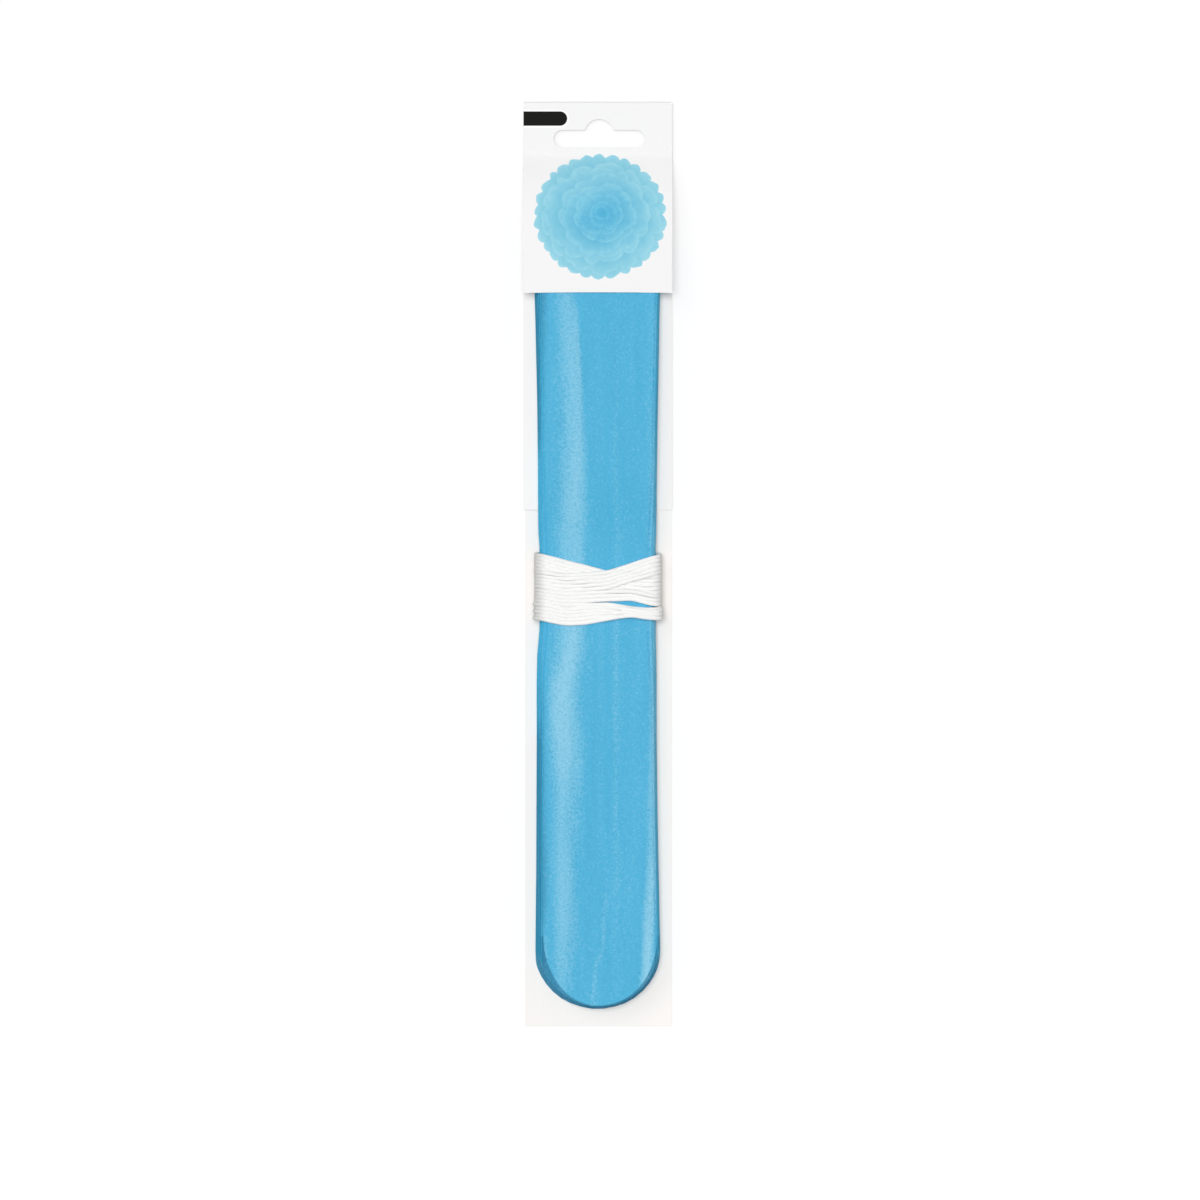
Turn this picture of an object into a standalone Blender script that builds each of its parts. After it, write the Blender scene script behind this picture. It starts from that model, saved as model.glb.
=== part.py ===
"""A tissue paper pom pom as it is sold, before it is fluffed out: a stack of tissue sheets pleated into a
flat pad with round ends, its hanging cord wound round the waist, under the flap of a folded header card
and on a long backing strip. It lies on its back, with +X across it, +Y towards the hang slot and +Z out
of its front. The origin is under the middle of the strip, and all sizes are in metres."""

import math

import bmesh
import bpy
import numpy as np

# The whole pack
PACK_LENGTH = 0.280
CLEARANCE = 0.0003

# Backing strip
STRIP_WIDTH = 0.0445
STRIP_DROP = 0.0190
STRIP_THICKNESS = 0.0004
STRIP_SHIFT = 0.0002

# Folded header card
HEADER_WIDTH = 0.045
BACK_LEG_LENGTH = 0.1236
FLAP_REACH = 0.0579
CARD_THICKNESS = 0.0004
FOLD_OPENING = 0.0003
FLAP_LIE_FLAT = 0.0020
FLAP_BEND_START = 0.0035
FLAP_BEND_END = 0.0320

# Hang slot through both legs of the header card
SLOT_LENGTH = 0.0276
SLOT_HEIGHT = 0.0053
SLOT_DROP = 0.0112
SLOT_SHIFT = 0.0004
HUMP_RADIUS = 0.0044
HUMP_RISE = 0.0033
HUMP_FILLET = 0.0006

# Pleated tissue pad
PLEATS = 14
PLEAT_THICKNESS = 0.00036
LOOSE_GAP = 0.00025
SQUEEZED_GAP = 0.00006
PAD_END_WIDTH = 0.0385
PAD_WAIST_WIDTH = 0.0358
PAD_BOTTOM_MARGIN = 0.0052
PAD_TOP_MARGIN = 0.0053
FRONT_INSET = 0.0012
PAD_EDGE_ROUND = 0.0016
FRONT_SHORTER = 0.0012
END_ROUND = 0.0180
WIDTH_SPREAD = 0.1050
SQUEEZE_SPREAD = 0.0260
LEG_RAMP = 0.0100

# Cord wound round the waist of the pad
CORD_DIAMETER = 0.00115
CORD_TURNS = 17
TURN_GROOVE = 0.00035

# Edges of the cord band as (across, along from the band's middle), left to right over the front
BAND_TOP_EDGE = ((-0.0190, 0.0113), (0.0029, 0.0059), (0.0190, 0.0109))
BAND_BOTTOM_EDGE = ((-0.0190, -0.0089), (-0.0096, -0.0109), (0.0090, -0.0082), (0.0190, -0.0091))

# Fineness of the round stretches
FOLD_STEPS = 6
TIGHT_FOLD_STEPS = 3
END_STEPS = 22
SLOT_STEPS = 12
FLAP_STEPS = 18
CORNER_STEPS = 4
FACE_STEPS = 8

# Levels that follow from the sizes above
HEADER_BOTTOM = STRIP_THICKNESS + CLEARANCE
LEG_TOP = HEADER_BOTTOM + CARD_THICKNESS
FRONT_LEG_MIDDLE = LEG_TOP + FOLD_OPENING + CARD_THICKNESS / 2
TOP_EDGE = PACK_LENGTH / 2
LEG_END = TOP_EDGE - BACK_LEG_LENGTH
FLAP_EDGE = TOP_EDGE - FLAP_REACH
SLOT_MIDDLE = TOP_EDGE - SLOT_DROP
RISE_START = SLOT_MIDDLE - SLOT_HEIGHT / 2 - FLAP_LIE_FLAT
PAD_BOTTOM_TIP = -PACK_LENGTH / 2 + PAD_BOTTOM_MARGIN
PAD_TOP_TIP = RISE_START - PAD_TOP_MARGIN
CORD_MIDDLE = (PAD_BOTTOM_TIP + PAD_TOP_TIP) / 2
SQUEEZED_HALF = max(along for _, along in BAND_TOP_EDGE) + CORD_DIAMETER
BAND_CORNER = PAD_EDGE_ROUND + CLEARANCE
PAD_ON_STRIP = STRIP_THICKNESS + CLEARANCE
PAD_ON_LEG = LEG_TOP + CLEARANCE
BAND_ON = PAD_ON_LEG if LEG_END < CORD_MIDDLE + SQUEEZED_HALF else PAD_ON_STRIP
PAD_ON_CORD = BAND_ON + CORD_DIAMETER + CLEARANCE
TIGHTEST = PLEATS * PLEAT_THICKNESS + (PLEATS - 1) * SQUEEZED_GAP
LOOSEST = PLEATS * PLEAT_THICKNESS + (PLEATS - 1) * LOOSE_GAP
FLAP_LEVEL = PAD_ON_LEG + LOOSEST + CLEARANCE + CARD_THICKNESS / 2


def clear_scene():
    for thing in list(bpy.data.objects):
        bpy.data.objects.remove(thing, do_unlink=True)


def new_collection(name):
    collection = bpy.data.collections.new(name)
    bpy.context.scene.collection.children.link(collection)
    return collection


def new_material(name, colour, roughness):
    material = bpy.data.materials.new(name)
    material.use_nodes = True
    shader = material.node_tree.nodes["Principled BSDF"]
    shader.inputs["Base Color"].default_value = (*colour, 1.0)
    shader.inputs["Roughness"].default_value = roughness
    return material


def white_card():
    return new_material("white_card", (0.90, 0.90, 0.90), 0.55)


def strip_card():
    return new_material("strip_card", (0.87, 0.87, 0.87), 0.60)


def blue_tissue():
    return new_material("blue_tissue", (0.09, 0.46, 0.71), 0.65)


def white_cord():
    return new_material("white_cord", (0.88, 0.88, 0.87), 0.85)


def smooth(share):
    """Eases from 0 to 1 with level ends."""
    share = np.clip(share, 0.0, 1.0)
    return share * share * (3 - 2 * share)


def add_mesh(name, shell, collection, material=None):
    """Puts a bmesh shell into the scene as an object, with its faces turned outwards."""
    bmesh.ops.recalc_face_normals(shell, faces=shell.faces)
    mesh = bpy.data.meshes.new(name)
    shell.to_mesh(mesh)
    shell.free()
    thing = bpy.data.objects.new(name, mesh)
    if material:
        mesh.materials.append(material)
    collection.objects.link(thing)
    return thing


def loft(sections, closed=False):
    """A skin over closed sections of one point count: a tube with flat ends, or a closed loop of them."""
    shell = bmesh.new()
    rings = [[shell.verts.new(point) for point in section] for section in sections]
    pairs = list(zip(rings, rings[1:]))
    if closed:
        pairs.append((rings[-1], rings[0]))
    else:
        shell.faces.new(rings[0])
        shell.faces.new(rings[-1])
    for ring, following in pairs:
        for i, vert in enumerate(ring):
            after = (i + 1) % len(ring)
            shell.faces.new((vert, ring[after], following[after], following[i]))
    return shell


def make_cutter(name, sections, collection):
    cutter = add_mesh(name, loft(sections), collection)
    cutter.hide_render = True
    cutter.display_type = "WIRE"
    return cutter


def cut_with(thing, cutter, operation):
    modifier = thing.modifiers.new(cutter.name, "BOOLEAN")
    modifier.operation = operation
    modifier.object = cutter
    modifier.solver = "EXACT"


def arc(centre, radius, start, end, steps):
    """Points of a circle's arc between two angles in degrees, both ends included."""
    angles = np.radians(np.linspace(start, end, steps + 1))
    return [(centre[0] + radius * math.cos(a), centre[1] + radius * math.sin(a)) for a in angles]


def backing_strip(collection, material):
    """One flat card, hard cornered, under everything from below the slot to the foot of the pack."""
    bpy.ops.mesh.primitive_cube_add(size=1)
    strip = bpy.context.object
    strip.name = strip.data.name = "backing_strip"
    strip.data.transform(
        ((STRIP_WIDTH, 0, 0, 0), (0, PACK_LENGTH - STRIP_DROP, 0, 0), (0, 0, STRIP_THICKNESS, 0), (0, 0, 0, 1))
    )
    strip.location = (STRIP_SHIFT, -STRIP_DROP / 2, STRIP_THICKNESS / 2)
    strip.data.materials.append(material)
    for holder in list(strip.users_collection):
        holder.objects.unlink(strip)
    collection.objects.link(strip)


def flap_curve():
    """The flap's rise from the slot to its lower edge, as (along, up): a cubic curve level at both ends."""
    points = (
        (RISE_START, FRONT_LEG_MIDDLE),
        (RISE_START - FLAP_BEND_START, FRONT_LEG_MIDDLE),
        (FLAP_EDGE + FLAP_BEND_END, FLAP_LEVEL),
        (FLAP_EDGE, FLAP_LEVEL),
    )
    t = np.linspace(0, 1, FLAP_STEPS + 1)[:, None]
    weights = ((1 - t) ** 3, 3 * t * (1 - t) ** 2, 3 * t**2 * (1 - t), t**3)
    return sum(weight * np.array(point) for weight, point in zip(weights, points))


def under_flap(along):
    """Height of the space below the flap, with the running clearance taken off."""
    curve = flap_curve()
    slope = np.gradient(curve[:, 1], curve[:, 0])
    lower = curve[:, 1] - (CARD_THICKNESS / 2 + CLEARANCE) * np.sqrt(1 + slope**2)
    return np.interp(along, curve[::-1, 0], lower[::-1], left=FLAP_LEVEL)


def card_profile():
    """The header card's middle line from the foot of its back leg over the top fold to the flap's edge."""
    radius = (CARD_THICKNESS + FOLD_OPENING) / 2
    fold_at = (TOP_EDGE - radius - CARD_THICKNESS / 2, LEG_TOP + FOLD_OPENING / 2)
    foot = [(LEG_END, LEG_TOP - CARD_THICKNESS / 2)]
    return foot + arc(fold_at, radius, -90, 90, SLOT_STEPS) + [tuple(p) for p in flap_curve()]


def slot_outline():
    """A slot with round ends and a round hump over its middle, each side of the hump let in by a fillet."""
    half = SLOT_HEIGHT / 2
    end = SLOT_LENGTH / 2 - half
    hump_at = half + HUMP_RISE - HUMP_RADIUS
    fillet_up = half + HUMP_FILLET
    reach = HUMP_RADIUS + HUMP_FILLET
    fillet_out = math.sqrt(reach**2 - (fillet_up - hump_at) ** 2)
    lean = math.degrees(math.atan2(fillet_up - hump_at, fillet_out))
    right = arc((end, 0), half, -90, 90, SLOT_STEPS)
    right_fillet = arc((fillet_out, fillet_up), HUMP_FILLET, -90, -180 + lean, SLOT_STEPS // 3)
    hump = arc((0, hump_at), HUMP_RADIUS, lean, 180 - lean, SLOT_STEPS)
    left_fillet = [(-x, y) for x, y in reversed(right_fillet)]
    left = arc((-end, 0), half, 90, 270, SLOT_STEPS)
    return right + right_fillet + hump[1:-1] + left_fillet + left


def header_card(collection, cutters, material):
    """One card folded over at the top, its front leg rising over the pad, punched through for hanging."""
    sheet = bmesh.new()
    left = [sheet.verts.new((-HEADER_WIDTH / 2, y, z)) for y, z in card_profile()]
    right = [sheet.verts.new((HEADER_WIDTH / 2, y, z)) for y, z in card_profile()]
    for i in range(len(left) - 1):
        sheet.faces.new((left[i], right[i], right[i + 1], left[i + 1]))
    card = add_mesh("header_card", sheet, collection, material)
    wall = card.modifiers.new("card thickness", "SOLIDIFY")
    wall.thickness = CARD_THICKNESS
    wall.offset = 0
    wall.use_even_offset = True
    outline = [(SLOT_SHIFT + x, SLOT_MIDDLE + y) for x, y in slot_outline()]
    above = FRONT_LEG_MIDDLE + CARD_THICKNESS
    punch = [[(x, y, z) for x, y in outline] for z in (-CARD_THICKNESS, above)]
    cut_with(card, make_cutter("slot_punch", punch, cutters), "DIFFERENCE")


def out_of_band(along):
    """How far the pad has come free of the cord's squeeze: 0 inside the band, 1 from one spread away."""
    return float(smooth((abs(along - CORD_MIDDLE) - SQUEEZED_HALF) / SQUEEZE_SPREAD))


def pad_base(along):
    """Height of the pad's underside: on the strip or the back leg, and up over the cord's rear turns."""
    on_leg = float(smooth((along - LEG_END + LEG_RAMP) / LEG_RAMP))
    lying = PAD_ON_STRIP + (PAD_ON_LEG - PAD_ON_STRIP) * on_leg
    return PAD_ON_CORD + (lying - PAD_ON_CORD) * out_of_band(along)


def pleat_gap(along):
    """Space between neighbouring pleats: closed up by the cord at the waist and by the flap at the top."""
    gap = SQUEEZED_GAP + (LOOSE_GAP - SQUEEZED_GAP) * out_of_band(along)
    room = under_flap(along) - pad_base(along) - PLEATS * PLEAT_THICKNESS
    return float(np.clip(room / (PLEATS - 1), SQUEEZED_GAP, gap))


def pad_width(along):
    """Width over the rear pleats: drawn in at the waist, full from one spread away."""
    away = abs(along - CORD_MIDDLE) - SQUEEZED_HALF
    return PAD_WAIST_WIDTH + (PAD_END_WIDTH - PAD_WAIST_WIDTH) * float(smooth(away / WIDTH_SPREAD))


def edge_round(up, depth, radius):
    """How far a fold's middle keeps inside the side of the stack, whose two long edges are rounded."""
    room = PAD_EDGE_ROUND - radius
    into_corner = max(0.0, PAD_EDGE_ROUND - min(up, depth - up))
    return PAD_EDGE_ROUND - math.sqrt(max(0.0, room**2 - into_corner**2))


def pleat_section(along):
    """The pleated ribbon cut across: one side of it up through every fold, and the other side back down."""
    gap, base, half = pleat_gap(along), pad_base(along), pad_width(along) / 2
    pitch = PLEAT_THICKNESS + gap
    depth = PLEATS * pitch - gap
    tight = gap / 2
    wide = tight + PLEAT_THICKNESS
    free_side = half - PAD_EDGE_ROUND
    near, far = [(free_side, base)], [(free_side, base + PLEAT_THICKNESS)]
    for fold in range(PLEATS - 1):
        side = -1 if fold % 2 == 0 else 1
        up = fold * pitch + wide
        inset = FRONT_INSET * (fold + 0.5) / (PLEATS - 1)
        centre = (half - inset - edge_round(up, depth, wide), base + up)
        outer = [(side * x, z) for x, z in arc(centre, wide, -90, 90, FOLD_STEPS)]
        inner = [(side * x, z) for x, z in arc(centre, tight, -90, 90, TIGHT_FOLD_STEPS)]
        near += outer if side < 0 else inner
        far += inner if side < 0 else outer
    front = base + (PLEATS - 1) * pitch
    last_side = 1 if PLEATS % 2 == 0 else -1
    front_edge = last_side * (free_side - FRONT_INSET)
    lower, upper = (front_edge, front), (front_edge, front + PLEAT_THICKNESS)
    near_top, far_top = (upper, lower) if PLEATS % 2 == 0 else (lower, upper)
    outline = near + [near_top] + [far_top] + far[::-1]
    return [(x, along, z) for x, z in outline]


def front_tip():
    """Where the front pleat ends under the flap, clear of the card's slope."""
    along = np.linspace(FLAP_EDGE, PAD_TOP_TIP, 400)
    fits = under_flap(along) - CLEARANCE > PAD_ON_LEG + TIGHTEST
    return float(along[fits].max())


def pad_outline(level):
    """The pad's plan at one level, 0 at the rear pleat and 1 at the front one: straight sides, round ends."""
    half = PAD_END_WIDTH / 2 + CLEARANCE - FRONT_INSET * level
    top = PAD_TOP_TIP + (front_tip() - PAD_TOP_TIP) * level
    bottom = PAD_BOTTOM_TIP + FRONT_SHORTER * level
    half_turn = np.linspace(0, math.pi, END_STEPS + 1)
    upper = [(half * math.cos(a), top - END_ROUND * (1 - math.sin(a))) for a in half_turn]
    lower = [(-half * math.cos(a), bottom + END_ROUND * (1 - math.sin(a))) for a in half_turn]
    return upper + lower


def stations():
    """Where the pad's sections stand: close together at the waist and under the flap."""
    steps = SQUEEZED_HALF + np.array((0.0, 0.3, 0.6, 1.0)) * SQUEEZE_SPREAD
    flap = np.linspace(FLAP_EDGE, PAD_TOP_TIP, 6)[:-1]
    leg = [LEG_END - LEG_RAMP, LEG_END]
    ends = [PAD_BOTTOM_TIP - END_ROUND / 4, CORD_MIDDLE - WIDTH_SPREAD, PAD_TOP_TIP + END_ROUND / 4]
    waist = [*(CORD_MIDDLE - steps), *(CORD_MIDDLE + steps)]
    return sorted({round(float(y), 7) for y in (*waist, *flap, *leg, *ends)})


def tissue_pad(collection, cutters, material):
    """Sheets of tissue stacked and pleated as one, with both ends of the stack trimmed round."""
    pad = add_mesh("tissue_pad", loft([pleat_section(y) for y in stations()]), collection, material)
    below, above = -0.5, 1.6
    trim = [
        [(x, y, PAD_ON_LEG + TIGHTEST * level) for x, y in pad_outline(level)]
        for level in (below, above)
    ]
    cut_with(pad, make_cutter("round_end_trim", trim, cutters), "INTERSECT")


def band_loop():
    """Stations round the waist as (across, up, angle): centres of a rounded loop and the way it faces."""
    half = PAD_WAIST_WIDTH / 2 + CLEARANCE - BAND_CORNER
    low = PAD_ON_CORD - CLEARANCE + BAND_CORNER
    high = PAD_ON_CORD + TIGHTEST + CLEARANCE - BAND_CORNER
    corners = ((half, low, -90), (half, high, 0), (-half, high, 90), (-half, low, 180))
    loop = []
    for i, (x, z, start) in enumerate(corners):
        loop += [(x, z, start + 90 * k / CORNER_STEPS) for k in range(CORNER_STEPS + 1)]
        following = corners[(i + 1) % 4]
        if following[1] == z:
            shares = np.arange(1, FACE_STEPS) / FACE_STEPS
            loop += [(x + (following[0] - x) * share, z, start + 90) for share in shares]
    return loop


def edge_at(edge, across):
    return float(np.interp(across, [x for x, _ in edge], [y for _, y in edge]))


def hanging_cord(collection, material):
    """The cord's winding as one solid: its turns lie side by side and crowd where the band narrows."""
    sections = []
    for x, z, degrees in band_loop():
        facing = (math.cos(math.radians(degrees)), math.sin(math.radians(degrees)))
        across = x + BAND_CORNER * facing[0]
        top, bottom = edge_at(BAND_TOP_EDGE, across), edge_at(BAND_BOTTOM_EDGE, across)
        ridges = [(k / (2 * CORD_TURNS), CORD_DIAMETER - TURN_GROOVE * (k % 2 == 0))
                  for k in range(2 * CORD_TURNS + 1)]
        profile = [(0.0, 0.0)] + ridges + [(1.0, 0.0)]
        sections.append([
            (
                x + (BAND_CORNER + height) * facing[0],
                CORD_MIDDLE + bottom + (top - bottom) * share,
                z + (BAND_CORNER + height) * facing[1],
            )
            for share, height in profile
        ])
    cord = add_mesh("hanging_cord", loft(sections, closed=True), collection, material)
    cord.data.shade_smooth()
    cord.data.set_sharp_from_angle(angle=math.radians(70))


def main():
    clear_scene()
    pack = new_collection("tissue_paper_pom_pom")
    cutters = new_collection("cutters")
    backing_strip(pack, strip_card())
    header_card(pack, cutters, white_card())
    tissue_pad(pack, cutters, blue_tissue())
    hanging_cord(pack, white_cord())


main()
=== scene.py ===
"""The looks of a folded tissue paper pom pom on its header card: a pleated pad of light blue tissue, a white
twisted cord wound round its waist, a folded white card with a printed blossom, and a pale backing strip.
Sizes are in metres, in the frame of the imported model: +X across, +Y towards the hang slot, +Z out of the front."""

import math

import bpy
import numpy as np
from mathutils import Matrix


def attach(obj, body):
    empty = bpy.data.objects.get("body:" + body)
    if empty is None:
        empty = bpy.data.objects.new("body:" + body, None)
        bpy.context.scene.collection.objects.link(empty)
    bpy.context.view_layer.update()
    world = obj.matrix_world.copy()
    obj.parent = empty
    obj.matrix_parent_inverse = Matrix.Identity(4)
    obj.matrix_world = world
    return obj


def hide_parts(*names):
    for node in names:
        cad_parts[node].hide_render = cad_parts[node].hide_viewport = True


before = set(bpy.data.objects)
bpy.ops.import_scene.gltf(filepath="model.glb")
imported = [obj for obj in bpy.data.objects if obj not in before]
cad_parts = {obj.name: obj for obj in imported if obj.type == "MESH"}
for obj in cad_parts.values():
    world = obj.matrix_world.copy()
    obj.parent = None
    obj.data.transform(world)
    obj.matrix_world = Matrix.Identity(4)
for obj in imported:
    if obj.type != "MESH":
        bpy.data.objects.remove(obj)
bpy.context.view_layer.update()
MM = 0.001

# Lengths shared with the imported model
PACK_LENGTH = 0.280
CLEARANCE = 0.0003
STRIP_THICKNESS = 0.0004

# Header card
HEADER_WIDTH = 0.045
BACK_LEG_LENGTH = 0.1236
FLAP_REACH = 0.0579
CARD_THICKNESS = 0.0004
FOLD_OPENING = 0.0003
FLAP_LIE_FLAT = 0.0020
FLAP_BEND_START = 0.0035
FLAP_BEND_END = 0.0320
FLAP_BOW = 0.0002
FLAP_CORNER_DROP = 0.0003

# Hang slot
SLOT_LENGTH = 0.0276
SLOT_HEIGHT = 0.0053
SLOT_DROP = 0.0112
SLOT_SHIFT = 0.0004
HUMP_RADIUS = 0.0044
HUMP_RISE = 0.0033
HUMP_FILLET = 0.0006

# Pleated tissue pad
PLEATS = 14
PLEAT_THICKNESS = 0.00036
LOOSE_GAP = 0.00025
SQUEEZED_GAP = 0.00006
PAD_END_WIDTH = 0.0385
PAD_WAIST_WIDTH = 0.0358
PAD_BOTTOM_MARGIN = 0.0052
PAD_TOP_MARGIN = 0.0053
FRONT_INSET = 0.0012
PAD_EDGE_ROUND = 0.0016
FRONT_SHORTER = 0.0012
END_ROUND = 0.0180
WIDTH_SPREAD = 0.1050
SQUEEZE_SPREAD = 0.0260
LEG_RAMP = 0.0100
FRONT_LEAN = 0.00045
EDGE_OPENS = 0.5
SHEET_BUNDLES = 4
SHEET_GAP = 0.00001
SHEET_ROWS = 84
PANEL_POINTS = 18
FRONT_PANEL_POINTS = 62
FOLD_POINTS = 6
FOLD_STRAY = (-0.00014, 0.00008)
END_STRAY = (-0.00016, 0.00010)
SIDE_SPREAD = 0.0060

# Cord
CORD_DIAMETER = 0.00115
CORD_SNUG_SIDE = 0.00012
CORD_SNUG_FRONT = 0.00002
CORD_LAY = 0.0027
CORD_STEP = 0.00034
TURN_SQUASH = 0.78
BAND_HALF = 0.0113

# Levels that follow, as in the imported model
HEADER_BOTTOM = STRIP_THICKNESS + CLEARANCE
LEG_TOP = HEADER_BOTTOM + CARD_THICKNESS
FRONT_LEG_MIDDLE = LEG_TOP + FOLD_OPENING + CARD_THICKNESS / 2
TOP_EDGE = PACK_LENGTH / 2
LEG_END = TOP_EDGE - BACK_LEG_LENGTH
FLAP_EDGE = TOP_EDGE - FLAP_REACH
SLOT_MIDDLE = TOP_EDGE - SLOT_DROP
RISE_START = SLOT_MIDDLE - SLOT_HEIGHT / 2 - FLAP_LIE_FLAT
PAD_BOTTOM_TIP = -PACK_LENGTH / 2 + PAD_BOTTOM_MARGIN
PAD_TOP_TIP = RISE_START - PAD_TOP_MARGIN
CORD_MIDDLE = (PAD_BOTTOM_TIP + PAD_TOP_TIP) / 2
SQUEEZED_HALF = BAND_HALF + CORD_DIAMETER
PAD_ON_STRIP = STRIP_THICKNESS + CLEARANCE
PAD_ON_LEG = LEG_TOP + CLEARANCE
PAD_ON_CORD = PAD_ON_STRIP + CORD_DIAMETER + CLEARANCE
TIGHTEST = PLEATS * PLEAT_THICKNESS + (PLEATS - 1) * SQUEEZED_GAP
LOOSEST = PLEATS * PLEAT_THICKNESS + (PLEATS - 1) * LOOSE_GAP
FLAP_LEVEL = PAD_ON_LEG + LOOSEST + CLEARANCE + CARD_THICKNESS / 2


# Camera, light and floor


def aim(thing, place, target):
    """Puts a lamp or camera at a place and turns its view onto the target, with +Y upwards in the picture."""
    ahead = np.array(target, float) - np.array(place, float)
    ahead /= np.linalg.norm(ahead)
    right = np.cross(ahead, (0.0, 1.0, 0.0))
    right /= np.linalg.norm(right)
    up = np.cross(right, ahead)
    matrix = np.eye(4)
    matrix[:3, 0], matrix[:3, 1], matrix[:3, 2], matrix[:3, 3] = right, up, -ahead, place
    thing.matrix_world = Matrix(matrix.tolist())


def make_camera():
    """A long lens straight above the pack, so that every side is seen square."""
    lens, sensor, frame_width = 400.0, 36.0, 0.36364
    centre = (0.00068, -0.01091, 0.0)
    data = bpy.data.cameras.new("camera")
    data.lens, data.sensor_width = lens, sensor
    data.clip_end = 50.0
    camera = bpy.data.objects.new("camera", data)
    bpy.context.scene.collection.objects.link(camera)
    aim(camera, (centre[0], centre[1], frame_width * lens / sensor), centre)
    bpy.context.scene.camera = camera


def light_pack():
    """Soft light from all round, with a broad fill from the front and a weaker key from the upper left. A
    lamp's share is the part of full white that it gives a card lying flat."""
    for name, share, lean, spread in (("fill", 0.74, 5.0, 26.0), ("key", 0.08, 38.0, 30.0)):
        away = math.radians(lean)
        data = bpy.data.lights.new(name, "SUN")
        data.energy, data.angle = share * math.pi / math.cos(away), math.radians(spread)
        lamp = bpy.data.objects.new(name, data)
        bpy.context.scene.collection.objects.link(lamp)
        aim(lamp, (-0.78 * math.sin(away), 0.62 * math.sin(away), math.cos(away)), (0.0, 0.0, 0.0))
    world = bpy.data.worlds.new("studio")
    bpy.context.scene.world = world
    world.use_nodes = True
    tree = world.node_tree
    tree.nodes.clear()
    paths = tree.nodes.new("ShaderNodeLightPath")
    seen = tree.nodes.new("ShaderNodeMath")
    seen.operation = "MAXIMUM"
    tree.links.new(paths.outputs["Is Camera Ray"], seen.inputs[0])
    tree.links.new(paths.outputs["Is Transmission Ray"], seen.inputs[1])
    dome, white = (tree.nodes.new("ShaderNodeBackground") for _ in range(2))
    dome.inputs["Color"].default_value = (1.0, 1.0, 1.0, 1.0)
    dome.inputs["Strength"].default_value = 0.31
    white.inputs["Strength"].default_value = 1.0
    white.inputs["Color"].default_value = (1.0, 1.0, 1.0, 1.0)
    both = tree.nodes.new("ShaderNodeMixShader")
    tree.links.new(seen.outputs[0], both.inputs[0])
    tree.links.new(dome.outputs[0], both.inputs[1])
    tree.links.new(white.outputs[0], both.inputs[2])
    out = tree.nodes.new("ShaderNodeOutputWorld")
    tree.links.new(both.outputs[0], out.inputs["Surface"])


# Shader expressions


class Value:
    """A socket in a material, so that shader sums read as plain expressions."""

    def __init__(self, shader, socket):
        self.shader, self.socket = shader, socket

    def __add__(self, other):
        return self.shader.maths("ADD", self, other)

    def __sub__(self, other):
        return self.shader.maths("SUBTRACT", self, other)

    def __rsub__(self, other):
        return self.shader.maths("SUBTRACT", other, self)

    def __mul__(self, other):
        return self.shader.maths("MULTIPLY", self, other)

    def __truediv__(self, other):
        return self.shader.maths("DIVIDE", self, other)

    def __pow__(self, other):
        return self.shader.maths("POWER", self, other)

    __radd__, __rmul__ = __add__, __mul__


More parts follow.
